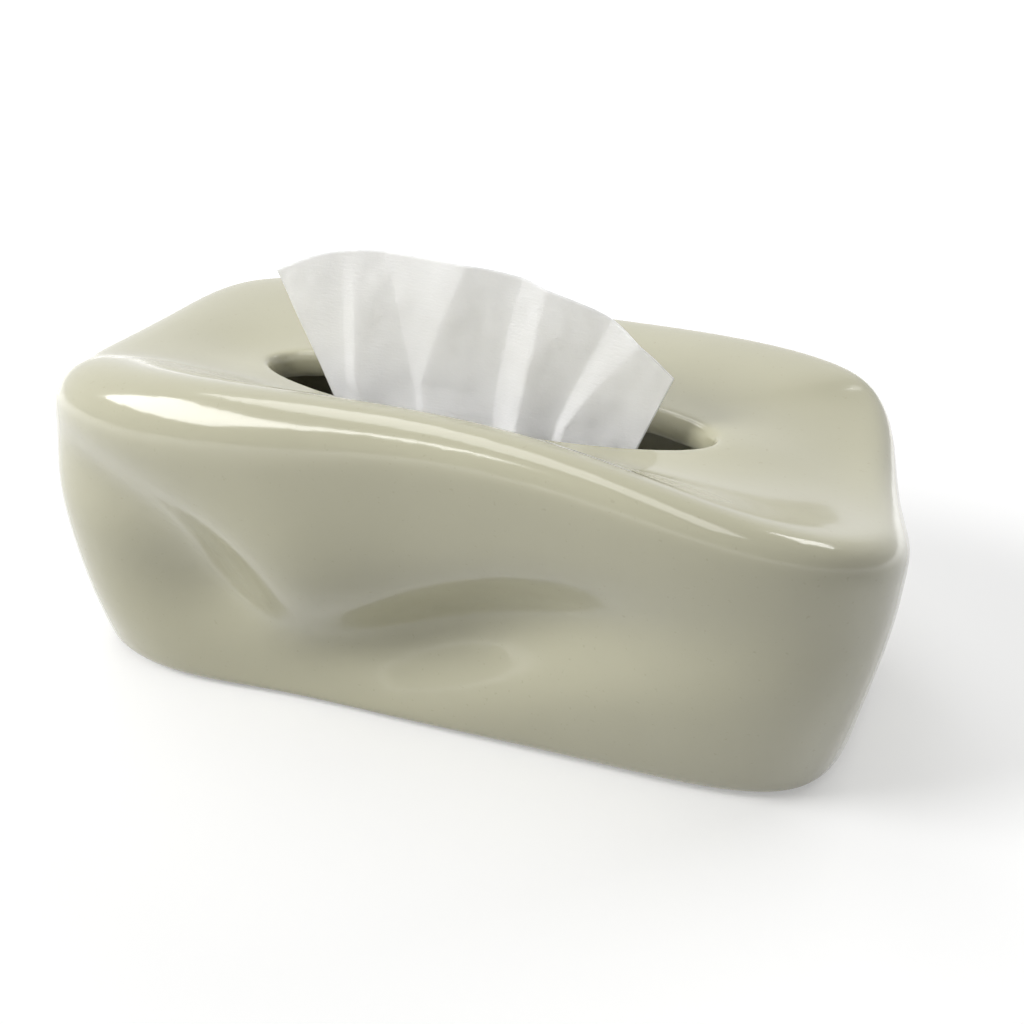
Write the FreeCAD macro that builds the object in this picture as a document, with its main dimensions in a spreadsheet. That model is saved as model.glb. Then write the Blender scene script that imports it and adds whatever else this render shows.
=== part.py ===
import FreeCAD, Part
import math
import os
import Sketcher

# Driving dimensions in millimetres, one spreadsheet cell each
DIMENSIONS = {
    # Cover, outside
    "CoverLength": 220.0,
    "CoverWidth": 130.0,
    "CoverHeight": 90.0,
    "EndFlare": 7.5,
    "SideFlare": 15.0,
    "FootSetBack": 4.6,
    "FloorGap": 0.8,
    "RimRounding": 9.0,
    "FootRounding": 3.0,
    "RimWave": 24.0,
    "WallWave": 10.0,
    "HollowDepth": 11.0,
    "HollowReach": 20.0,
    # Cover, wall and seat
    "WallThickness": 5.0,
    "FootLand": 1.5,
    "LedgeWidth": 2.5,
    "FlangeHeight": 14.0,
    # Slot in the top
    "SlotLength": 124.0,
    "SlotWidth": 35.0,
    "SlotForward": 4.5,
    "SlotHeight": 76.5,
    "LipDepth": 8.0,
    "LipRounding": 2.2,
    # Plate, ring and feet under the cover
    "PlateThickness": 3.5,
    "PlateClearance": 0.4,
    "RingThickness": 1.0,
    "PadRadius": 7.0,
    "PadHeight": 1.5,
    "PadRounding": 0.5,
    "StemRadius": 2.5,
    "StemHeight": 2.5,
    "StemClearance": 0.15,
    "PadEndMargin": 30.0,
    "PadSideMargin": 23.0,
    # Tissues
    "StackHeight": 36.0,
    "StackEndRoom": 17.0,
    "StackSideRoom": 9.0,
    "StackRounding": 3.0,
    "SheetThickness": 0.8,
    "SheetRise": 32.0,
    "SheetSeatGap": 0.3,
    "SheetEndGap": 3.0,
    "CutOverrun": 2.0,
}

# Sizes that follow from others, in cells after the driving ones
DERIVED_SIZES = {
    "FootLength": "=CoverLength - 2 * EndFlare",
    "FootWidth": "=CoverWidth - 2 * SideFlare",
}

# Shares at twelve places round the cover, counter-clockwise from the right end:
# right end, rear right corner, three along the rear, rear left corner, left end,
# front left corner, three along the front, front right corner
RIM_DROP_SHARES = (0.96, 0.36, 0.33, 0.44, 0.44, 0.32, 0.38, 0.23, 0.02, -0.02, -0.02, 0.48)
RIM_PUSH_SHARES = (-0.75, -1.50, -0.40, 0.14, 0.24, 0.30, -0.22, -0.60, 0.50, -0.35, 0.00, 0.90)
WAIST_PUSH_SHARES = (0.30, -1.60, -1.10, -0.50, -0.20, -0.15, 0.60, 1.30, 0.65, -0.50, -0.20, 0.91)
RIM_ROUND_SHARES = (0.80, 0.90, 1.00, 1.00, 1.00, 1.10, 1.20, 1.60, 1.70, 1.20, 0.95, 0.85)
FOOT_PUSH_SHARES = (0.00, 0.25, 0.10, 0.20, 0.20, 0.25, -0.20, 0.80, 0.60, -0.20, -0.60, -0.45)

# Hollows pressed into the walls, or a swell where the depth is negative: place round the cover,
# place up the wall, then reach round, reach up and depth as shares of the hollow sizes, and how
# steeply the hollow climbs along the wall
HOLLOW_SHARES = (
    (0.657, 0.34, 0.85, 0.64, 1.05, -0.08),
    (0.632, 0.65, 1.30, 0.45, 0.45, -0.35),
    (0.712, 0.55, 0.90, 0.80, -0.42, 0.10),
    (0.773, 0.345, 2.05, 0.52, 1.22, 0.33),
    (0.010, 0.42, 0.80, 0.70, 0.80, 0.00),
    (0.290, 0.38, 1.60, 0.60, 0.80, 0.30),
    (0.500, 0.42, 0.80, 0.80, 0.50, 0.00),
)

RIM_SQUARENESS = 4.5
FOOT_SQUARENESS = 4.5
SLOT_SQUARENESS = 1.9
SLOT_TURN_DEGREES = -3.0

# Shares along the pulled sheet from left to right: where its folds turn, and how much
# of the slot's half width each turn fills, towards the front where negative
FOLD_PLACE_SHARES = (-1.00, -0.80, -0.56, -0.32, -0.10, 0.12, 0.36, 0.60, 0.82, 1.00)
FOLD_FILL_SHARES = (0.08, -0.30, 0.26, -0.32, 0.30, -0.26, 0.32, -0.30, 0.24, -0.08)

# Height up the sheet, half width and fold depth at five levels, as shares of the sheet's own
SHEET_LEVEL_SHARES = (
    (0.00, 0.52, 0.45), (0.25, 0.63, 0.55), (0.50, 0.76, 0.70), (0.75, 0.90, 0.80), (1.00, 1.00, 0.80),
)

# Outline of the sheet seen from the front: place along it and height up it
SHEET_EDGE_SHARES = (
    (-0.52, 0.00), (-0.99, 0.89), (-0.57, 1.00), (-0.29, 0.98), (0.25, 0.96),
    (0.48, 0.92), (0.59, 0.88), (0.74, 0.80), (0.87, 0.71), (0.52, 0.00),
)

STATIONS = 80
FOOT_ROWS = 3
WALL_ROWS = 13
RIM_ROWS = 4
TOP_ROWS = 8
LIP_ROWS = 6
OUTLINE_STEPS = 1440

doc = FreeCAD.newDocument("TissueBoxCover")
sheet = doc.addObject("Spreadsheet::Sheet", "Dimensions")
for row, (alias, value) in enumerate(DIMENSIONS.items(), start=1):
    sheet.set("A%d" % row, alias)
    sheet.set("B%d" % row, str(value))
    sheet.setAlias("B%d" % row, alias)
first_row = len(DIMENSIONS) + 1
for row, (alias, formula) in enumerate(DERIVED_SIZES.items(), start=first_row):
    sheet.set("A%d" % row, alias)
    sheet.set("B%d" % row, formula)
    sheet.setAlias("B%d" % row, alias)
doc.recompute()


def size(alias):
    """One driving dimension, read from the sheet."""
    return float(sheet.get(alias))


def mix(first, last, share):
    return first + (last - first) * share


def ease(share):
    """Smooth step from zero to one."""
    return 0.5 - 0.5 * math.cos(math.pi * min(max(share, 0.0), 1.0))


def steps(count):
    """Shares from just above zero to one."""
    return [index / count for index in range(1, count + 1)]


def bell(distance):
    """Weight of a place at a distance counted in places."""
    away = abs(distance)
    if away < 1:
        return 2 / 3 - away ** 2 + away ** 3 / 2
    if away < 2:
        return (2 - away) ** 3 / 6
    return 0.0


def around(shares, turn):
    """Smooth value, at a turn from 0 to 1, of shares given at even places round the cover."""
    count = len(shares)
    total = 0.0
    for index, share in enumerate(shares):
        distance = (turn * count - index + count / 2) % count - count / 2
        total += share * bell(distance)
    return total


def rounded_outline(length, width, squareness):
    """Points and outward normals of a rounded rectangle, evenly spaced from its right end."""
    half_length = length / 2
    half_width = width / 2
    fine = []
    for step in range(OUTLINE_STEPS + 1):
        angle = 2 * math.pi * step / OUTLINE_STEPS
        along = abs(math.cos(angle)) / half_length
        across = abs(math.sin(angle)) / half_width
        radius = (along ** squareness + across ** squareness) ** (-1 / squareness)
        fine.append((radius * math.cos(angle), radius * math.sin(angle)))
    travel = [0.0]
    for before, after in zip(fine, fine[1:]):
        travel.append(travel[-1] + math.dist(before, after))
    outline = []
    step = 0
    for station in range(STATIONS):
        goal = travel[-1] * station / STATIONS
        while travel[step + 1] <= goal:
            step += 1
        share = (goal - travel[step]) / (travel[step + 1] - travel[step])
        x = mix(fine[step][0], fine[step + 1][0], share)
        y = mix(fine[step][1], fine[step + 1][1], share)
        slope_x = math.copysign((abs(x) / half_length) ** (squareness - 1) / half_length, x)
        slope_y = math.copysign((abs(y) / half_width) ** (squareness - 1) / half_width, y)
        steepness = math.hypot(slope_x, slope_y)
        outline.append((x, y, slope_x / steepness, slope_y / steepness))
    return outline


# Levels above the floor
foot_level = size("FloorGap")
plate_top = size("PadHeight") + size("PlateThickness")
ledge_level = plate_top + size("RingThickness")

# Insets from the outer wall at the foot
rebate_inset = size("FootRounding") + size("FootLand")
ledge_inset = rebate_inset + size("LedgeWidth")

rim_outline = rounded_outline(size("CoverLength"), size("CoverWidth"), RIM_SQUARENESS)
foot_outline = rounded_outline(size("FootLength"), size("FootWidth"), FOOT_SQUARENESS)
slot_outline = rounded_outline(size("SlotLength"), size("SlotWidth"), SLOT_SQUARENESS)
girth = 2 * (size("CoverLength") + size("CoverWidth"))


def rim_level(station):
    return size("CoverHeight") - size("RimWave") * around(RIM_DROP_SHARES, station / STATIONS)


def rim_rounding(station):
    return size("RimRounding") * around(RIM_ROUND_SHARES, station / STATIONS)


def hollow_depth(turn, rise):
    """How far the hollows press the wall in, at a turn round it and a share of its height."""
    total = 0.0
    for turn_share, rise_share, reach_share, climb_share, depth_share, slant_share in HOLLOW_SHARES:
        along = ((turn - turn_share + 0.5) % 1 - 0.5) * girth
        climb = (rise - rise_share) * size("CoverHeight") - slant_share * along
        along /= size("HollowReach") * reach_share
        climb /= size("HollowReach") * climb_share
        total += depth_share * math.exp(-0.5 * (along ** 2 + climb ** 2))
    return size("HollowDepth") * total


def wall_point(station, level, inset):
    """Point of the outer wall at a level, or set in from it."""
    turn = station / STATIONS
    rise = min(max((level - foot_level) / (rim_level(station) - foot_level), 0.0), 1.0)
    foot_x, foot_y, foot_nx, foot_ny = foot_outline[station]
    rim_x, rim_y, rim_nx, rim_ny = rim_outline[station]
    normal_x = mix(foot_nx, rim_nx, rise)
    normal_y = mix(foot_ny, rim_ny, rise)
    reach = math.hypot(normal_x, normal_y)
    push_share = (1 - rise) ** 2 * around(FOOT_PUSH_SHARES, turn)
    push_share += 2 * rise * (1 - rise) * around(WAIST_PUSH_SHARES, turn)
    push_share += rise ** 2 * around(RIM_PUSH_SHARES, turn)
    push = (size("WallWave") * push_share - hollow_depth(turn, rise) - inset) / reach
    x = mix(foot_x, rim_x, rise) + normal_x * push
    y = mix(foot_y + size("FootSetBack"), rim_y, rise) + normal_y * push
    return FreeCAD.Vector(x, y, level)


def slot_place(x, y, level):
    """Point given along and across the slot, which is turned a little from the cover's length."""
    turn = math.radians(SLOT_TURN_DEGREES)
    along = x * math.cos(turn) - y * math.sin(turn)
    across = x * math.sin(turn) + y * math.cos(turn)
    return FreeCAD.Vector(along, across - size("SlotForward"), level)


def slot_point(station, outset, level):
    """Point round the slot, set out from its edge."""
    x, y, normal_x, normal_y = slot_outline[station]
    return slot_place(x + normal_x * outset, y + normal_y * outset, level)


def top_point(station, share, drop):
    """Point of the top between the rim and the slot's lip, or under it."""
    rim_top = rim_level(station)
    rim = wall_point(station, rim_top, rim_rounding(station))
    lip = slot_point(station, size("LipRounding"), size("SlotHeight"))
    level = mix(rim_top, size("SlotHeight"), ease(share)) - drop
    return FreeCAD.Vector(mix(rim.x, lip.x, share), mix(rim.y, lip.y, share), level)


def skin_rows():
    """Rows of points from the foot's outer edge over the rim, through the slot and down to the ledge."""
    wall = size("WallThickness")
    foot_rounding = size("FootRounding")
    foot_top = foot_level + foot_rounding
    rows = [[wall_point(station, foot_level, foot_rounding) for station in range(STATIONS)]]
    for share in steps(FOOT_ROWS):
        angle = share * math.pi / 2
        level = foot_level + foot_rounding * (1 - math.cos(angle))
        inset = foot_rounding * (1 - math.sin(angle))
        rows.append([wall_point(station, level, inset) for station in range(STATIONS)])
    for share in steps(WALL_ROWS):
        row = []
        for station in range(STATIONS):
            level = mix(foot_top, rim_level(station) - rim_rounding(station), share)
            row.append(wall_point(station, level, 0.0))
        rows.append(row)
    for share in steps(RIM_ROWS):
        angle = share * math.pi / 2
        row = []
        for station in range(STATIONS):
            drop = rim_rounding(station) * (1 - math.sin(angle))
            inset = rim_rounding(station) * (1 - math.cos(angle))
            row.append(wall_point(station, rim_level(station) - drop, inset))
        rows.append(row)
    for share in steps(TOP_ROWS):
        rows.append([top_point(station, share, 0.0) for station in range(STATIONS)])
    for share in steps(LIP_ROWS):
        angle = share * math.pi
        outset = size("LipRounding") * (1 - math.sin(angle))
        level = size("SlotHeight") - size("LipDepth") / 2 * (1 - math.cos(angle))
        rows.append([slot_point(station, outset, level) for station in range(STATIONS)])
    for share in steps(TOP_ROWS):
        drop = mix(size("LipDepth"), wall, ease(min(2 * share, 1.0)))
        rows.append([top_point(station, 1 - share, drop) for station in range(STATIONS)])
    for share in steps(RIM_ROWS):
        angle = share * math.pi / 2
        row = []
        for station in range(STATIONS):
            rounding = rim_rounding(station)
            drop = mix(rounding, wall, math.cos(angle))
            inset = mix(rounding, wall, math.sin(angle))
            row.append(wall_point(station, rim_level(station) - drop, inset))
        rows.append(row)
    for share in steps(WALL_ROWS):
        row = []
        for station in range(STATIONS):
            level = mix(rim_level(station) - rim_rounding(station), ledge_level, share)
            flange = ease(1 - (level - ledge_level) / size("FlangeHeight"))
            row.append(wall_point(station, level, mix(wall, ledge_inset, flange)))
        rows.append(row)
    return rows


def clamped_knots(count, degree):
    """Knots and multiplicities of an open curve that reaches its end points."""
    knots = list(range(count - degree + 1))
    multiplicities = [1] * len(knots)
    multiplicities[0] = degree + 1
    multiplicities[-1] = degree + 1
    return knots, multiplicities


def outline_edge(inset, level):
    """Closed smooth edge that follows the cover's foot, set in from it."""
    poles = []
    for station in range(STATIONS):
        point = wall_point(station, foot_level, inset)
        poles.append(FreeCAD.Vector(point.x, point.y, level))
    curve = Part.BSplineCurve()
    knots = list(range(STATIONS + 1))
    curve.buildFromPolesMultsKnots(poles, [1] * len(knots), knots, True, 3)
    return curve.toShape()


def flat_face(*edges):
    return Part.makeFace([Part.Wire(edge) for edge in edges], "Part::FaceMakerBullseye")


def level_edge(face, level):
    """The face's closed edge that lies at a level."""
    flat = [edge for edge in face.Edges if edge.BoundBox.ZLength < size("FloorGap") / 2]
    return min(flat, key=lambda edge: abs(edge.BoundBox.ZMin - level))


def shell_solid():
    """The cover's skin, closed by its foot land, rebate wall and ledge."""
    rows = skin_rows()
    poles = [[row[station] for row in rows] for station in range(STATIONS)]
    turn_knots = list(range(STATIONS + 1))
    rise_knots, rise_multiplicities = clamped_knots(len(rows), 3)
    surface = Part.BSplineSurface()
    surface.buildFromPolesMultsKnots(
        poles, [1] * len(turn_knots), rise_multiplicities, turn_knots, rise_knots, True, False, 3, 3
    )
    skin = surface.toShape()
    rebate_top = outline_edge(rebate_inset, ledge_level)
    rebate_wall = rebate_top.extrude(FreeCAD.Vector(0, 0, foot_level - ledge_level))
    foot_land = flat_face(level_edge(skin, foot_level), level_edge(rebate_wall, foot_level))
    ledge = flat_face(level_edge(rebate_wall, ledge_level), level_edge(skin, ledge_level))
    shell = Part.Shell([skin, foot_land, rebate_wall, ledge])
    shell.sewShape()
    solid = Part.Solid(shell)
    if solid.Volume < 0:
        solid.reverse()
    return solid


def add_shape(label, shape):
    """A document object whose shape follows a formula."""
    feature = doc.addObject("Part::Feature", label)
    feature.Label = label
    feature.Shape = shape
    return feature


def extrude_up(label, face, alias):
    """A face pulled up by one driving dimension."""
    extrusion = doc.addObject("Part::Extrusion", label)
    extrusion.Label = label
    extrusion.Base = add_shape(label + "_outline", face)
    extrusion.DirMode = "Custom"
    extrusion.Dir = FreeCAD.Vector(0, 0, 1)
    extrusion.Solid = True
    extrusion.setExpression("LengthFwd", "Dimensions." + alias)
    return extrusion


def origin_plane(body, role):
    return next(feature for feature in body.Origin.OriginFeatures if feature.Role == role)


def flat_sketch(body, name):
    """An empty sketch on a body's own floor plane."""
    sketch = body.newObject("Sketcher::SketchObject", name)
    sketch.AttachmentSupport = (origin_plane(body, "XY_Plane"), "")
    sketch.MapMode = "FlatFace"
    return sketch


def pad(body, name, sketch, length):
    feature = body.newObject("PartDesign::Pad", name)
    feature.Profile = sketch
    feature.setExpression("Length", length)
    return feature


def disc_sketch(body, name, radius):
    """A circle round the body's own axis, its radius bound to a dimension."""
    sketch = flat_sketch(body, name)
    sketch.addGeometry(Part.Circle(FreeCAD.Vector(), FreeCAD.Vector(0, 0, 1), size(radius)))
    sketch.addConstraint(Sketcher.Constraint("Coincident", 0, 3, -1, 1))
    sketch.addConstraint(Sketcher.Constraint("Radius", 0, size(radius)))
    sketch.setExpression("Constraints[1]", "Dimensions." + radius)
    return sketch


def stem_places():
    """Names of the rubber feet, with their sides along the length and the width."""
    return (
        ("front_left_foot", -1, -1),
        ("front_right_foot", 1, -1),
        ("rear_left_foot", -1, 1),
        ("rear_right_foot", 1, 1),
    )


def bind_stem_place(feature, side_x, side_y):
    """Put an object on the axis of one rubber foot."""
    along = "(Dimensions.FootLength / 2 - Dimensions.PadEndMargin)"
    across = "(Dimensions.FootWidth / 2 - Dimensions.PadSideMargin)"
    feature.setExpression("Placement.Base.x", "%d * %s" % (side_x, along))
    feature.setExpression("Placement.Base.y", "Dimensions.FootSetBack + %d * %s" % (side_y, across))


def make_cover_shell():
    return add_shape("cover_shell", shell_solid())


def make_base_plate():
    """The plate, with a hole for the stem of each rubber foot."""
    outline = outline_edge(rebate_inset + size("PlateClearance"), 0.0)
    blank = extrude_up("plate_blank", flat_face(outline), "PlateThickness")
    blank.setExpression("Placement.Base.z", "Dimensions.PadHeight")
    holes = []
    for name, side_x, side_y in stem_places():
        hole = doc.addObject("Part::Cylinder", name + "_hole")
        hole.setExpression("Radius", "Dimensions.StemRadius + Dimensions.StemClearance")
        hole.setExpression("Height", "Dimensions.PlateThickness + 2 * Dimensions.CutOverrun")
        bind_stem_place(hole, side_x, side_y)
        hole.setExpression("Placement.Base.z", "Dimensions.PadHeight - Dimensions.CutOverrun")
        holes.append(hole)
    stem_holes = doc.addObject("Part::MultiFuse", "stem_holes")
    stem_holes.Shapes = holes
    plate = doc.addObject("Part::Cut", "base_plate")
    plate.Label = "base_plate"
    plate.Base = blank
    plate.Tool = stem_holes
    return plate


def make_seat_ring():
    """The soft ring between the plate and the cover's ledge."""
    outer = outline_edge(rebate_inset + size("PlateClearance"), 0.0)
    inner = outline_edge(ledge_inset, 0.0)
    ring = extrude_up("seat_ring", flat_face(outer, inner), "RingThickness")
    ring.setExpression("Placement.Base.z", "Dimensions.PadHeight + Dimensions.PlateThickness")
    return ring


def make_rubber_foot(name, side_x, side_y):
    """A round pad with a stem that plugs into the plate."""
    body = doc.addObject("PartDesign::Body", name)
    body.Label = name
    pad(body, name + "_stem", disc_sketch(body, name + "_stem_circle", "StemRadius"),
        "Dimensions.PadHeight + Dimensions.StemHeight")
    disc = pad(body, name + "_pad", disc_sketch(body, name + "_pad_circle", "PadRadius"),
               "Dimensions.PadHeight")
    doc.recompute()
    floor_edge = next(
        index for index, edge in enumerate(disc.Shape.Edges, start=1)
        if edge.BoundBox.ZMax < size("PadRounding") and edge.BoundBox.XLength > size("PadRadius")
    )
    rounding = body.newObject("PartDesign::Fillet", name + "_rounding")
    rounding.Base = (disc, ["Edge%d" % floor_edge])
    rounding.setExpression("Radius", "Dimensions.PadRounding")
    bind_stem_place(body, side_x, side_y)
    return body


def make_tissue_stack():
    """The folded refill that lies on the plate."""
    half_length = size("FootLength") / 2 - ledge_inset - size("StackEndRoom")
    half_width = size("FootWidth") / 2 - ledge_inset - size("StackSideRoom")
    body = doc.addObject("PartDesign::Body", "tissue_stack")
    body.Label = "tissue_stack"
    sketch = flat_sketch(body, "stack_outline")
    corners = [(-half_length, -half_width), (half_length, -half_width),
               (half_length, half_width), (-half_length, half_width)]
    for start, end in zip(corners, corners[1:] + corners[:1]):
        sketch.addGeometry(Part.LineSegment(FreeCAD.Vector(*start), FreeCAD.Vector(*end)))
    for line in range(4):
        sketch.addConstraint(Sketcher.Constraint("Coincident", line, 2, (line + 1) % 4, 1))
        sketch.addConstraint(Sketcher.Constraint("Vertical" if line % 2 else "Horizontal", line))
    sketch.addConstraint(Sketcher.Constraint("Symmetric", 0, 1, 1, 2, -1, 1))
    inset = "Dimensions.FootRounding + Dimensions.FootLand + Dimensions.LedgeWidth"
    length = sketch.addConstraint(Sketcher.Constraint("DistanceX", 0, 1, 0, 2, 2 * half_length))
    width = sketch.addConstraint(Sketcher.Constraint("DistanceY", 1, 1, 1, 2, 2 * half_width))
    sketch.setExpression("Constraints[%d]" % length,
                         "Dimensions.FootLength - 2 * (%s + Dimensions.StackEndRoom)" % inset)
    sketch.setExpression("Constraints[%d]" % width,
                         "Dimensions.FootWidth - 2 * (%s + Dimensions.StackSideRoom)" % inset)
    block = pad(body, "stack_block", sketch, "Dimensions.StackHeight")
    doc.recompute()
    upright = ["Edge%d" % index for index, edge in enumerate(block.Shape.Edges, start=1)
               if edge.BoundBox.ZLength > size("StackHeight") / 2]
    rounding = body.newObject("PartDesign::Fillet", "stack_rounding")
    rounding.Base = (block, upright)
    rounding.setExpression("Radius", "Dimensions.StackRounding")
    body.setExpression("Placement.Base.y", "Dimensions.FootSetBack")
    body.setExpression("Placement.Base.z", "Dimensions.PadHeight + Dimensions.PlateThickness")
    return body


def slot_half_width(x):
    """Half the slot's width at a place along it."""
    share = min(abs(x) / (size("SlotLength") / 2), 1.0)
    return size("SlotWidth") / 2 * (1 - share ** SLOT_SQUARENESS) ** (1 / SLOT_SQUARENESS)


def fold_wire(level, half_width, depth_share):
    """Closed section of the pulled sheet: arcs from fold to fold along both its faces."""
    turns = []
    for place_share, fill_share in zip(FOLD_PLACE_SHARES, FOLD_FILL_SHARES):
        x = half_width * place_share
        turns.append(slot_place(x, fill_share * depth_share * slot_half_width(x), level))
    middles = [(before + after) / 2 for before, after in zip(turns[1:-2], turns[2:-1])]
    ends = [turns[0]] + middles + [turns[-1]]
    across = (slot_place(0, size("SheetThickness"), level) - slot_place(0, 0, level)) / 2
    edges = []
    for start, crest, end in zip(ends, turns[1:-1], ends[1:]):
        edges.append(Part.Arc(start - across, crest - across, end - across).toShape())
    edges.append(Part.LineSegment(ends[-1] - across, ends[-1] + across).toShape())
    for start, crest, end in reversed(list(zip(ends, turns[1:-1], ends[1:]))):
        edges.append(Part.Arc(end + across, crest + across, start + across).toShape())
    edges.append(Part.LineSegment(ends[0] + across, ends[0] - across).toShape())
    return Part.Wire(edges)


def make_pulled_tissue():
    """The sheet that stands in the slot: folds that fan out upwards, trimmed to its outline."""
    foot = plate_top + size("StackHeight") + size("SheetSeatGap")
    rise = size("SlotHeight") + size("SheetRise") - foot
    half_width = size("SlotLength") / 2 - size("SheetEndGap")
    sections = []
    for level_share, width_share, depth_share in SHEET_LEVEL_SHARES:
        sections.append(fold_wire(foot + rise * level_share, half_width * width_share, depth_share))
    folds = add_shape("sheet_folds", Part.makeLoft(sections, True, False))
    corners = []
    for place_share, rise_share in SHEET_EDGE_SHARES:
        level = foot + rise * rise_share
        corners.append(slot_place(half_width * place_share, -size("SlotWidth") / 2, level))
    outline = Part.makePolygon(corners + corners[:1])
    trim = doc.addObject("Part::Extrusion", "sheet_trim")
    trim.Base = add_shape("sheet_outline", Part.Face(outline))
    trim.DirMode = "Custom"
    trim.Dir = slot_place(0, size("SlotWidth"), 0) - slot_place(0, 0, 0)
    trim.Solid = True
    trim.setExpression("LengthFwd", "Dimensions.SlotWidth")
    tissue = doc.addObject("Part::Common", "pulled_tissue")
    tissue.Label = "pulled_tissue"
    tissue.Base = folds
    tissue.Tool = trim
    return tissue


pieces = [make_cover_shell(), make_base_plate(), make_seat_ring()]
for foot_name, foot_side_x, foot_side_y in stem_places():
    pieces.append(make_rubber_foot(foot_name, foot_side_x, foot_side_y))
pieces.append(make_tissue_stack())
pieces.append(make_pulled_tissue())
doc.recompute()

for item in doc.Objects:
    if {"Invalid", "Error"} & set(item.State):
        raise RuntimeError("%s failed: %s" % (item.Label, item.State))
for piece in pieces:
    if piece.Shape.isNull() or not piece.Shape.isValid() or len(piece.Shape.Solids) != 1:
        raise RuntimeError("%s is not one valid solid" % piece.Label)

os.makedirs("parts", exist_ok=True)
for piece in pieces:
    piece.Shape.exportStep("parts/%s.step" % piece.Label)
    box = piece.Shape.BoundBox
    print("%-18s %9.1f mm3  x %.1f..%.1f  y %.1f..%.1f  z %.1f..%.1f" % (
        piece.Label, piece.Shape.Volume, box.XMin, box.XMax, box.YMin, box.YMax, box.ZMin, box.ZMax))
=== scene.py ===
import math

import bpy
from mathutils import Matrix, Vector, noise


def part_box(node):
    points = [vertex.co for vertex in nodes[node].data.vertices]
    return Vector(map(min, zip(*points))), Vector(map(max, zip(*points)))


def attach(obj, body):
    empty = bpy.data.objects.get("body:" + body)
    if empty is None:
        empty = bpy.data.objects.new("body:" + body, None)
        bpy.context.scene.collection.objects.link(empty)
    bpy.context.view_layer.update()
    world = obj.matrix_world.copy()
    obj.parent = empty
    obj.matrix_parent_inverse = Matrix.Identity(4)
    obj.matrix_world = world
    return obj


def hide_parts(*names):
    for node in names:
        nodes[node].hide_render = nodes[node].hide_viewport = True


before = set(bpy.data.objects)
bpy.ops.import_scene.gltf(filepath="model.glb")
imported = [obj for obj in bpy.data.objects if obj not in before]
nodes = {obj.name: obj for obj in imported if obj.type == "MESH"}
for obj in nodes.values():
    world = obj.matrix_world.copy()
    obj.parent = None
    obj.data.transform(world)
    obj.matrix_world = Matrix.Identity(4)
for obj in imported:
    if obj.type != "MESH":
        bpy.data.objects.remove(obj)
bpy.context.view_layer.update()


# Materials


def new_material(name):
    """A material with its node tree and its one shader."""
    material = bpy.data.materials.new(name)
    material.use_nodes = True
    tree = material.node_tree
    return material, tree, tree.nodes["Principled BSDF"]


def add_node(tree, kind, **inputs):
    """A node with constant values on the inputs that are named."""
    node = tree.nodes.new(kind)
    for key, value in inputs.items():
        node.inputs[key.replace("_", " ")].default_value = value
    return node


# Octaves of detail in a noise
PLAIN, FINE, RICH, FULL = 1.0, 2.0, 3.0, 4.0


def noise_node(tree, place, scale, detail):
    node = add_node(tree, "ShaderNodeTexNoise", Scale=scale, Detail=detail)
    tree.links.new(place, node.inputs["Vector"])
    return node


def object_place(tree):
    return tree.nodes.new("ShaderNodeTexCoord").outputs["Object"]


def colour_ramp(tree, factor, stops):
    ramp = tree.nodes.new("ShaderNodeValToRGB")
    ramp.color_ramp.elements[0].position = stops[0][0]
    ramp.color_ramp.elements[0].color = (*stops[0][1], 1)
    ramp.color_ramp.elements[1].position = stops[-1][0]
    ramp.color_ramp.elements[1].color = (*stops[-1][1], 1)
    for position, colour in stops[1:-1]:
        ramp.color_ramp.elements.new(position).color = (*colour, 1)
    tree.links.new(factor, ramp.inputs["Fac"])
    return ramp.outputs["Color"]


def map_range(tree, value, low, high):
    node = add_node(tree, "ShaderNodeMapRange", To_Min=low, To_Max=high)
    tree.links.new(value, node.inputs["Value"])
    return node.outputs["Result"]


def bump(tree, height, strength, distance, normal=None):
    node = add_node(tree, "ShaderNodeBump", Strength=strength, Distance=distance)
    tree.links.new(height, node.inputs["Height"])
    if normal is not None:
        tree.links.new(normal, node.inputs["Normal"])
    return node.outputs["Normal"]


# Glaze: noise scales are in waves per metre, and the depth is in metres
GLAZE_TONES = (
    (0.25, (0.440, 0.424, 0.300)),
    (0.50, (0.464, 0.448, 0.320)),
    (0.75, (0.488, 0.472, 0.342)),
)
GLAZE_DRIFT_SCALE = 14.0
SPECK_SCALE = 900.0
SPECK_MASK = ((0.70, (0.0, 0.0, 0.0)), (0.78, (0.35, 0.35, 0.35)))
SPECK_COLOUR = (0.36, 0.33, 0.23, 1)
GLOSS_SCALE = 60.0
GLAZE_ROUGHNESS = (0.11, 0.16)
SKIN_SCALE = 45.0
SKIN_STRENGTH = 0.02
SKIN_DEPTH = 0.0001
GLAZE_IOR = 1.52
COAT_WEIGHT = 0.35
COAT_ROUGHNESS = 0.04


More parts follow.
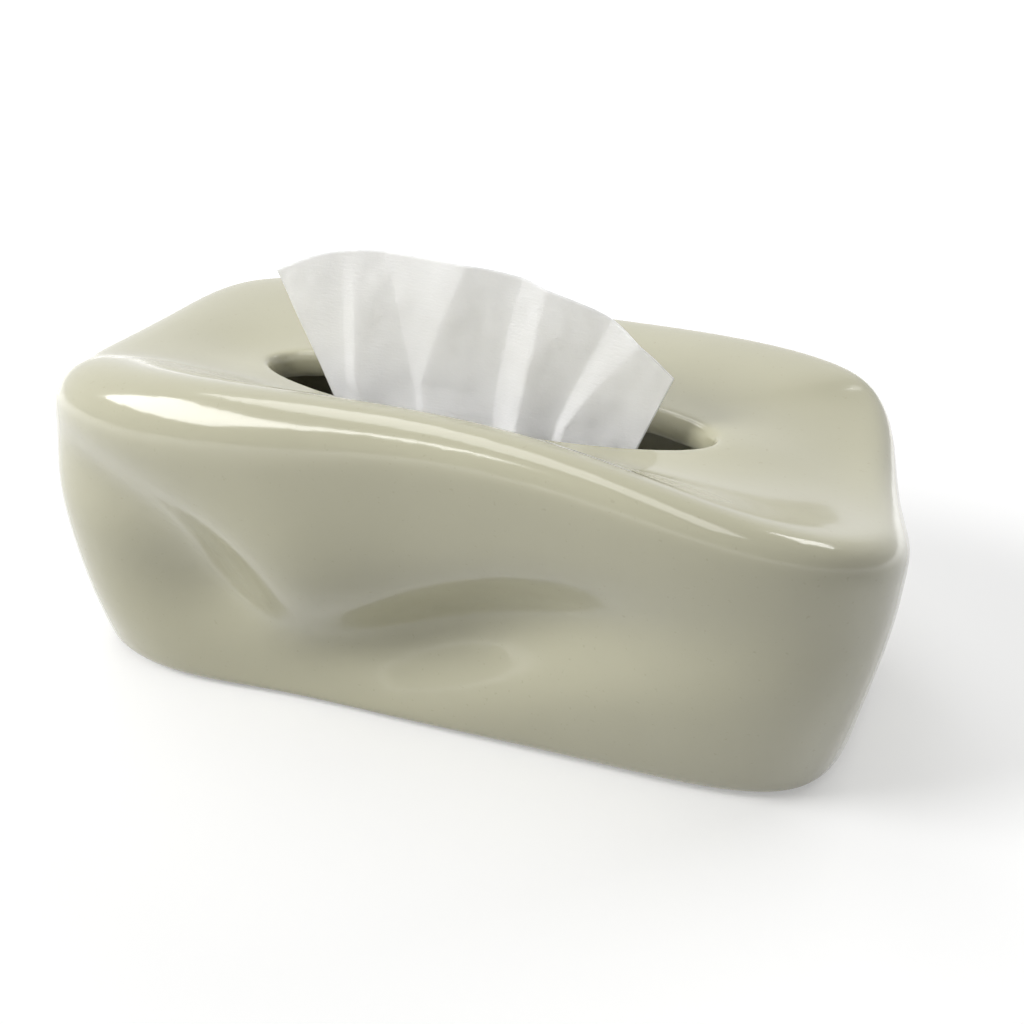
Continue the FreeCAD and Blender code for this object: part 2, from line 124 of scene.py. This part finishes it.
def glaze_material():
    """Glossy sage beige glaze: soft drifts of tone, faint specks and a slightly uneven skin."""
    material, tree, shader = new_material("sage_glaze")
    place = object_place(tree)
    drift = noise_node(tree, place, GLAZE_DRIFT_SCALE, RICH)
    tone = colour_ramp(tree, drift.outputs["Fac"], GLAZE_TONES)
    specks = noise_node(tree, place, SPECK_SCALE, PLAIN)
    speck_mask = colour_ramp(tree, specks.outputs["Fac"], SPECK_MASK)
    mixed = tree.nodes.new("ShaderNodeMix")
    mixed.data_type = "RGBA"
    tree.links.new(speck_mask, mixed.inputs["Factor"])
    tree.links.new(tone, mixed.inputs["A"])
    mixed.inputs["B"].default_value = SPECK_COLOUR
    tree.links.new(mixed.outputs["Result"], shader.inputs["Base Color"])
    gloss = noise_node(tree, place, GLOSS_SCALE, FINE)
    roughness = map_range(tree, gloss.outputs["Fac"], *GLAZE_ROUGHNESS)
    tree.links.new(roughness, shader.inputs["Roughness"])
    skin = noise_node(tree, place, SKIN_SCALE, PLAIN)
    skin_normal = bump(tree, skin.outputs["Fac"], SKIN_STRENGTH, SKIN_DEPTH)
    tree.links.new(skin_normal, shader.inputs["Normal"])
    shader.inputs["IOR"].default_value = GLAZE_IOR
    shader.inputs["Coat Weight"].default_value = COAT_WEIGHT
    shader.inputs["Coat Roughness"].default_value = COAT_ROUGHNESS
    return material


# Moulded grain: grains to one drift of tone, the tones' stops and the strength of the bump
GRAINS_PER_DRIFT = 12
GRAIN_DARK_STOP = 0.3
GRAIN_LIGHT_STOP = 0.7
GRAIN_STRENGTH = 0.35


def grained_material(name, dark, light, roughness, scale, depth):
    """Matte moulded surface with a fine grain."""
    material, tree, shader = new_material(name)
    place = object_place(tree)
    drift = noise_node(tree, place, scale / GRAINS_PER_DRIFT, RICH)
    tones = ((GRAIN_DARK_STOP, dark), (GRAIN_LIGHT_STOP, light))
    tree.links.new(colour_ramp(tree, drift.outputs["Fac"], tones), shader.inputs["Base Color"])
    grain = noise_node(tree, place, scale, FINE)
    tree.links.new(map_range(tree, grain.outputs["Fac"], *roughness), shader.inputs["Roughness"])
    grain_normal = bump(tree, grain.outputs["Fac"], GRAIN_STRENGTH, depth)
    tree.links.new(grain_normal, shader.inputs["Normal"])
    return material


# Tissue paper: noise scales are in waves per metre, and the depths are in metres
TISSUE_TONES = ((0.30, (0.90, 0.90, 0.905)), (0.70, (0.95, 0.95, 0.952)))
TISSUE_DRIFT_SCALE = 60.0
CREPE_STRETCH = (1.0, 1.0, 5.0)
CREPE_SCALE = 420.0
CREPE_STRENGTH = 0.25
CREPE_DEPTH = 0.0003
FIBRE_SCALE = 1500.0
FIBRE_STRENGTH = 0.25
FIBRE_DEPTH = 0.0002
TISSUE_ROUGHNESS = (0.80, 0.95)
TISSUE_SPECULAR = 0.2
TISSUE_SUBSURFACE = 0.6
SUBSURFACE_SPREAD = (1.0, 1.0, 1.0)
SUBSURFACE_DEPTH = 0.002


def tissue_material():
    """Soft white tissue paper: fibre flecks, a fine crepe across the sheet and light that soaks in."""
    material, tree, shader = new_material("tissue_paper")
    place = object_place(tree)
    drift = noise_node(tree, place, TISSUE_DRIFT_SCALE, FULL)
    tone = colour_ramp(tree, drift.outputs["Fac"], TISSUE_TONES)
    tree.links.new(tone, shader.inputs["Base Color"])
    stretch = add_node(tree, "ShaderNodeMapping", Scale=CREPE_STRETCH)
    tree.links.new(place, stretch.inputs["Vector"])
    crepe = noise_node(tree, stretch.outputs["Vector"], CREPE_SCALE, RICH)
    fibres = noise_node(tree, place, FIBRE_SCALE, FINE)
    coarse = bump(tree, crepe.outputs["Fac"], CREPE_STRENGTH, CREPE_DEPTH)
    fine = bump(tree, fibres.outputs["Fac"], FIBRE_STRENGTH, FIBRE_DEPTH, coarse)
    tree.links.new(fine, shader.inputs["Normal"])
    roughness = map_range(tree, fibres.outputs["Fac"], *TISSUE_ROUGHNESS)
    tree.links.new(roughness, shader.inputs["Roughness"])
    shader.inputs["Specular IOR Level"].default_value = TISSUE_SPECULAR
    shader.inputs["Subsurface Weight"].default_value = TISSUE_SUBSURFACE
    shader.inputs["Subsurface Radius"].default_value = SUBSURFACE_SPREAD
    shader.inputs["Subsurface Scale"].default_value = SUBSURFACE_DEPTH
    return material


# Moulded surfaces: dark and light tone, roughness from and to, grains per metre and grain depth
PLATE_LOOK = ((0.30, 0.28, 0.20), (0.34, 0.32, 0.235), (0.45, 0.6), 1100.0, 0.0002)
FOOT_LOOK = ((0.035, 0.035, 0.030), (0.055, 0.055, 0.048), (0.7, 0.85), 1600.0, 0.0003)
SEAL_LOOK = ((0.09, 0.085, 0.065), (0.12, 0.115, 0.09), (0.6, 0.75), 1400.0, 0.0003)

glaze = glaze_material()
plate_plastic = grained_material("plate_plastic", *PLATE_LOOK)
foot_rubber = grained_material("foot_rubber", *FOOT_LOOK)
seal_rubber = grained_material("seal_rubber", *SEAL_LOOK)
tissue = tissue_material()

NODE_MATERIALS = {
    "cover_shell": glaze,
    "base_plate": plate_plastic,
    "seat_ring": seal_rubber,
    "front_left_foot": foot_rubber,
    "front_right_foot": foot_rubber,
    "rear_left_foot": foot_rubber,
    "rear_right_foot": foot_rubber,
    "tissue_stack": tissue,
    "pulled_tissue": tissue,
}
for name, material in NODE_MATERIALS.items():
    mesh = nodes[name].data
    mesh.materials.clear()
    mesh.materials.append(material)
for polygon in nodes["cover_shell"].data.polygons:
    polygon.use_smooth = True


# Pieces


def mesh_piece(name, points, faces, material, body):
    """A smooth mesh that rides on a body."""
    mesh = bpy.data.meshes.new(name)
    mesh.from_pydata([tuple(point) for point in points], [], faces)
    mesh.materials.append(material)
    for polygon in mesh.polygons:
        polygon.use_smooth = True
    mesh.update()
    piece = bpy.data.objects.new(name, mesh)
    bpy.context.scene.collection.objects.link(piece)
    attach(piece, body)
    return piece


def smooth_share(share):
    """Smooth step from zero to one."""
    share = min(max(share, 0.0), 1.0)
    return share * share * (3 - 2 * share)


def mix(first, last, share):
    return first + (last - first) * share


def curve_through(points, share):
    """Smooth curve through points that are listed with their place from 0 to 1."""
    places = [point[0] for point in points]
    last = len(points) - 1
    index = min(max(sum(place <= share for place in places) - 1, 0), last - 1)
    before, start, end, after = (points[min(max(index + step, 0), last)] for step in (-1, 0, 1, 2))
    span = end[0] - start[0]
    t = (share - start[0]) / span
    values = []
    for axis in range(1, len(start)):
        slope_start = (end[axis] - before[axis]) / max(end[0] - before[0], span) * span
        slope_end = (after[axis] - start[axis]) / max(after[0] - start[0], span) * span
        values.append(
            (2 * t ** 3 - 3 * t ** 2 + 1) * start[axis] + (t ** 3 - 2 * t ** 2 + t) * slope_start
            + (3 * t ** 2 - 2 * t ** 3) * end[axis] + (t ** 3 - t ** 2) * slope_end)
    return values


# The pulled sheet, in metres: it follows the slot, which is turned a little from the length
SLOT_TURN = math.radians(-3.0)
SLOT_FORWARD = 0.0045
SHEET_FOOT = 0.0413
SHEET_RISE = 0.0672
SHEET_HALF_WIDTH = 0.059
SHEET_FOOT_SHARE = 0.52
SHEET_COLUMNS = 180
SHEET_ROWS = 96
SHEET_THICKNESS = 0.00025

# Top edge: place along it, then place along the sheet and height, as shares of the sheet's own
SHEET_TOP = (
    (0.00, -0.990, 0.890), (0.10, -0.790, 0.965), (0.20, -0.580, 1.003), (0.33, -0.300, 1.012),
    (0.47, 0.000, 1.018), (0.58, 0.250, 0.988), (0.70, 0.470, 0.940), (0.80, 0.620, 0.882),
    (0.90, 0.760, 0.802), (1.00, 0.870, 0.715),
)

# Folds from left to right: place along the slot and along the top edge, then how far the
# sheet stands to the rear there, in millimetres, at its foot, at the slot and at its top
SHEET_FOLDS = (
    (0.000, 0.000, 2.5, 0.2, -0.6),
    (0.060, 0.170, -6.5, 0.5, 1.5),
    (0.105, 0.200, 6.5, -1.0, 1.8),
    (0.270, 0.257, -7.0, 2.6, 2.6),
    (0.300, 0.465, -5.0, 1.8, -2.0),
    (0.514, 0.560, 7.5, 3.4, 0.2),
    (0.607, 0.622, -7.5, -0.8, -1.8),
    (0.720, 0.785, 7.0, 1.8, 0.6),
    (0.755, 0.880, 5.0, 0.4, -0.9),
    (0.880, 0.940, -6.5, 1.8, -0.2),
    (1.000, 1.000, 2.5, 2.2, 0.3),
)

# Share of the height at which the sheet passes the slot, and how rounded its folds are
SLOT_SHARE = 0.50
FOLD_SOFTNESS = 0.40
MILLIMETRES_PER_METRE = 1000

# Fine crumples: waves per metre along and up the sheet, a seed, and the depth in metres
SHEET_CRUMPLES = ((90, 60, 3.1, 0.0006), (220, 160, 7.7, 0.00025))
CRUMPLE_FOOT_SHARE = 0.4


def fold_offset(along, rise):
    """How far the sheet stands to the rear, in metres, at a place along it and up it."""
    crests = []
    for slot_place, top_place, at_foot, at_slot, at_top in SHEET_FOLDS:
        if rise < SLOT_SHARE:
            place = slot_place
            depth = mix(at_foot, at_slot, smooth_share(rise / SLOT_SHARE))
        else:
            share = (rise - SLOT_SHARE) / (1 - SLOT_SHARE)
            place = mix(slot_place, top_place, share)
            depth = mix(at_slot, at_top, share)
        crests.append((place, depth))
    for (start, first), (end, last) in zip(crests, crests[1:]):
        if along <= end:
            share = (along - start) / (end - start)
            soft_share = mix(share, smooth_share(share), FOLD_SOFTNESS)
            return mix(first, last, soft_share) / MILLIMETRES_PER_METRE
    return crests[-1][1] / MILLIMETRES_PER_METRE


def sheet_point(along, rise):
    """Point of the pulled sheet, at shares of its width and height."""
    top_x, top_z = curve_through(SHEET_TOP, along)
    foot_x = mix(-SHEET_FOOT_SHARE, SHEET_FOOT_SHARE, along)
    x = mix(foot_x, top_x, rise) * SHEET_HALF_WIDTH
    z = SHEET_FOOT + top_z * rise * SHEET_RISE
    crumple = 0.0
    for across, up, seed, depth in SHEET_CRUMPLES:
        crumple += noise.noise(Vector((x * across, z * up, seed))) * depth
    y = fold_offset(along, rise) + crumple * mix(CRUMPLE_FOOT_SHARE, 1, rise)
    turned_x = x * math.cos(SLOT_TURN) - y * math.sin(SLOT_TURN)
    turned_y = x * math.sin(SLOT_TURN) + y * math.cos(SLOT_TURN)
    return Vector((turned_x, turned_y - SLOT_FORWARD, z))


sheet_points = []
for row in range(SHEET_ROWS + 1):
    for column in range(SHEET_COLUMNS + 1):
        sheet_points.append(sheet_point(column / SHEET_COLUMNS, row / SHEET_ROWS))
sheet_faces = []
for row in range(SHEET_ROWS):
    for column in range(SHEET_COLUMNS):
        corner = row * (SHEET_COLUMNS + 1) + column
        sheet_faces.append((corner, corner + 1, corner + SHEET_COLUMNS + 2, corner + SHEET_COLUMNS + 1))
pulled_sheet = mesh_piece("pulled_sheet", sheet_points, sheet_faces, tissue, "tissue")
thickness = pulled_sheet.modifiers.new("thickness", "SOLIDIFY")
thickness.thickness = SHEET_THICKNESS
thickness.offset = 0.0
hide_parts("pulled_tissue")

# The folded refill: many sheets that lie on each other, with soft folded edges; sizes in metres
STACK_LAYERS = 26
STACK_STATIONS = 240
STACK_SQUARENESS = 12.0
STACK_FOLD = 0.0006

# Edge of one layer: share of its height, and share of the fold that it is tucked in by
LAYER_EDGE_SHARES = ((0.02, 1.0), (0.25, 0.25), (0.5, 0.0), (0.75, 0.25), (0.98, 1.0))

# Slip of the layers: depth in metres, waves per metre, and the noise's step from layer to layer
SLIP_DEPTH = 0.0005
SLIP_SCALE = 40
SLIP_LAYER_STEP = 1.7

# Soft top of the refill, in rings that shrink to the middle: depths in metres, waves per metre
TOP_RING_SHARES = (0.85, 0.65, 0.45, 0.25, 0.1)
TOP_INSET = 0.001
TOP_DIP = 0.0005
TOP_SOFTNESS = 0.0004
TOP_SCALE = 60
TOP_SEED = 1.3

stack_low, stack_high = (Vector(corner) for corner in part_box("tissue_stack"))
stack_middle = (stack_low + stack_high) / 2


def stack_outline(station, inset):
    """Point round the refill's rounded rectangle, set in from it."""
    half_x = (stack_high.x - stack_low.x) / 2 - inset
    half_y = (stack_high.y - stack_low.y) / 2 - inset
    angle = 2 * math.pi * station / STACK_STATIONS
    across = abs(math.cos(angle) / half_x) ** STACK_SQUARENESS
    along = abs(math.sin(angle) / half_y) ** STACK_SQUARENESS
    radius = (across + along) ** (-1 / STACK_SQUARENESS)
    return stack_middle.x + radius * math.cos(angle), stack_middle.y + radius * math.sin(angle)


stack_points = []
stack_faces = []
layer_rise = (stack_high.z - stack_low.z) / STACK_LAYERS
rows = []
for layer in range(STACK_LAYERS):
    for share, tuck in LAYER_EDGE_SHARES:
        level = stack_low.z + (layer + share) * layer_rise
        rows.append((level, layer, tuck))
for level, layer, tuck in rows:
    for station in range(STACK_STATIONS):
        x, y = stack_outline(station, 0.0)
        slip_place = Vector((x * SLIP_SCALE, y * SLIP_SCALE, layer * SLIP_LAYER_STEP))
        slip = SLIP_DEPTH * (1 + noise.noise(slip_place))
        x, y = stack_outline(station, STACK_FOLD * tuck + slip)
        stack_points.append(Vector((x, y, level)))
for row in range(len(rows) - 1):
    for station in range(STACK_STATIONS):
        after = (station + 1) % STACK_STATIONS
        first = row * STACK_STATIONS
        second = first + STACK_STATIONS
        stack_faces.append((first + station, first + after, second + after, second + station))
ring_starts = [(len(rows) - 1) * STACK_STATIONS]
for ring in TOP_RING_SHARES:
    ring_starts.append(len(stack_points))
    for station in range(STACK_STATIONS):
        x, y = stack_outline(station, TOP_INSET)
        x = mix(stack_middle.x, x, ring)
        y = mix(stack_middle.y, y, ring)
        soft = TOP_SOFTNESS * noise.noise(Vector((x * TOP_SCALE, y * TOP_SCALE, TOP_SEED)))
        stack_points.append(Vector((x, y, stack_high.z - TOP_DIP + soft)))
for first, second in zip(ring_starts, ring_starts[1:]):
    for station in range(STACK_STATIONS):
        after = (station + 1) % STACK_STATIONS
        stack_faces.append((first + station, first + after, second + after, second + station))
stack_faces.append(tuple(ring_starts[-1] + station for station in range(STACK_STATIONS)))
stack_faces.append(tuple(reversed(range(STACK_STATIONS))))
folded_refill = mesh_piece("folded_refill", stack_points, stack_faces, tissue, "base")
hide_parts("tissue_stack")


# Floor, light and camera


def shown_ray(tree):
    """One for the rays that show or mirror the ground and the world, and zero for the rest."""
    path = tree.nodes.new("ShaderNodeLightPath")
    total = path.outputs["Is Camera Ray"]
    for name in ("Is Glossy Ray", "Is Transmission Ray"):
        added = tree.nodes.new("ShaderNodeMath")
        added.operation = "ADD"
        added.use_clamp = True
        tree.links.new(total, added.inputs[0])
        tree.links.new(path.outputs[name], added.inputs[1])
        total = added.outputs[0]
    return total


WHITE = (1, 1, 1, 1)

# Ground: its colour, and how it glows near the object and far from it, with distances in metres
GROUND_COLOUR = (0.62, 0.62, 0.62, 1)
GROUND_ROUGHNESS = 0.9
GROUND_GLOW_NEAR = 0.36
GROUND_GLOW_FAR = 1.0
GROUND_NEAR = 0.16
GROUND_FAR = 0.55


def ground_material():
    """White ground that keeps the soft shadow, and is white where it shows or mirrors."""
    material, tree, shader = new_material("white_ground")
    shader.inputs["Base Color"].default_value = GROUND_COLOUR
    shader.inputs["Roughness"].default_value = GROUND_ROUGHNESS
    shader.inputs["Specular IOR Level"].default_value = 0.0
    shader.inputs["Emission Color"].default_value = WHITE
    away = tree.nodes.new("ShaderNodeVectorMath")
    away.operation = "LENGTH"
    tree.links.new(object_place(tree), away.inputs[0])
    glow = add_node(tree, "ShaderNodeMapRange", From_Min=GROUND_NEAR, From_Max=GROUND_FAR,
                    To_Min=GROUND_GLOW_NEAR, To_Max=GROUND_GLOW_FAR)
    glow.interpolation_type = "SMOOTHSTEP"
    tree.links.new(away.outputs["Value"], glow.inputs["Value"])
    lift = tree.nodes.new("ShaderNodeMath")
    lift.operation = "MULTIPLY"
    tree.links.new(shown_ray(tree), lift.inputs[0])
    tree.links.new(glow.outputs["Result"], lift.inputs[1])
    tree.links.new(lift.outputs[0], shader.inputs["Emission Strength"])
    return material


GROUND_HALF = 6.0
ground_mesh = bpy.data.meshes.new("ground")
ground_mesh.from_pydata(
    [(-GROUND_HALF, -GROUND_HALF, 0), (GROUND_HALF, -GROUND_HALF, 0), (GROUND_HALF, GROUND_HALF, 0),
     (-GROUND_HALF, GROUND_HALF, 0)], [], [(0, 1, 2, 3)])
ground_mesh.materials.append(ground_material())
ground = bpy.data.objects.new("ground", ground_mesh)
bpy.context.scene.collection.objects.link(ground)

WORLD_LIGHT = 0.10
world = bpy.data.worlds.new("studio")
bpy.context.scene.world = world
world.use_nodes = True
background = world.node_tree.nodes["Background"]
background.inputs["Color"].default_value = WHITE
brightness = map_range(world.node_tree, shown_ray(world.node_tree), WORLD_LIGHT, 1.0)
world.node_tree.links.new(brightness, background.inputs["Strength"])


# Soft boxes: place, target and size in metres, power in watts, whether they light and are mirrored
SOFT_BOXES = {
    "overhead_box": ((-0.25, -0.20, 1.35), (0.0, 0.0, 0.05), (2.4, 0.50), 11.0, True, True),
    "left_box": ((-0.85, -0.75, 0.85), (0.0, 0.0, 0.06), (0.6, 0.45), 14.5, True, False),
    "left_card": ((-0.78, -0.42, 0.74), (0.0, 0.0, 0.06), (0.86, 0.46), 8.6, False, True),
    "rear_box": ((0.45, 0.95, 0.75), (0.0, 0.0, 0.08), (1.2, 0.6), 8.0, True, False),
    "rim_card": ((0.62, 0.60, 1.10), (0.09, -0.05, 0.08), (0.40, 0.34), 2.4, False, True),
}


def soft_light(name, place, target, size, power, lights, mirrored):
    """A rectangular soft box that points at a target."""
    lamp = bpy.data.lights.new(name, "AREA")
    lamp.shape = "RECTANGLE"
    lamp.size, lamp.size_y = size
    lamp.energy = power
    box = bpy.data.objects.new(name, lamp)
    box.location = place
    box.rotation_euler = (Vector(target) - Vector(place)).to_track_quat("-Z", "Y").to_euler()
    box.visible_diffuse = lights
    box.visible_glossy = mirrored
    bpy.context.scene.collection.objects.link(box)


for name, setting in SOFT_BOXES.items():
    soft_light(name, *setting)

# Camera: distances in metres, the sensor in millimetres, and the picture's values in pixels
CAMERA_AZIMUTH = math.radians(24.56)
CAMERA_ELEVATION = math.radians(26.37)
CAMERA_DISTANCE = 0.3355
CAMERA_TARGET = Vector((0.00207, -0.0038, 0.045))
FOCAL_PIXELS = 1283.0
SHIFT_PIXELS = (-27.2, -4.5)
FRAME_PIXELS = 1024
SENSOR_WIDTH = 36.0
CLIP_START = 0.01
CLIP_END = 50.0
forward = Vector((
    -math.sin(CAMERA_AZIMUTH) * math.cos(CAMERA_ELEVATION),
    math.cos(CAMERA_AZIMUTH) * math.cos(CAMERA_ELEVATION),
    -math.sin(CAMERA_ELEVATION),
))
camera_data = bpy.data.cameras.new("camera")
camera_data.sensor_width = SENSOR_WIDTH
camera_data.lens = FOCAL_PIXELS / FRAME_PIXELS * SENSOR_WIDTH
camera_data.shift_x = -SHIFT_PIXELS[0] / FRAME_PIXELS
camera_data.shift_y = SHIFT_PIXELS[1] / FRAME_PIXELS
camera_data.clip_start = CLIP_START
camera_data.clip_end = CLIP_END
camera = bpy.data.objects.new("camera", camera_data)
camera.location = CAMERA_TARGET - forward * CAMERA_DISTANCE
camera.rotation_euler = forward.to_track_quat("-Z", "Y").to_euler()
bpy.context.scene.collection.objects.link(camera)
bpy.context.scene.camera = camera
bpy.context.scene.view_settings.view_transform = "Standard"
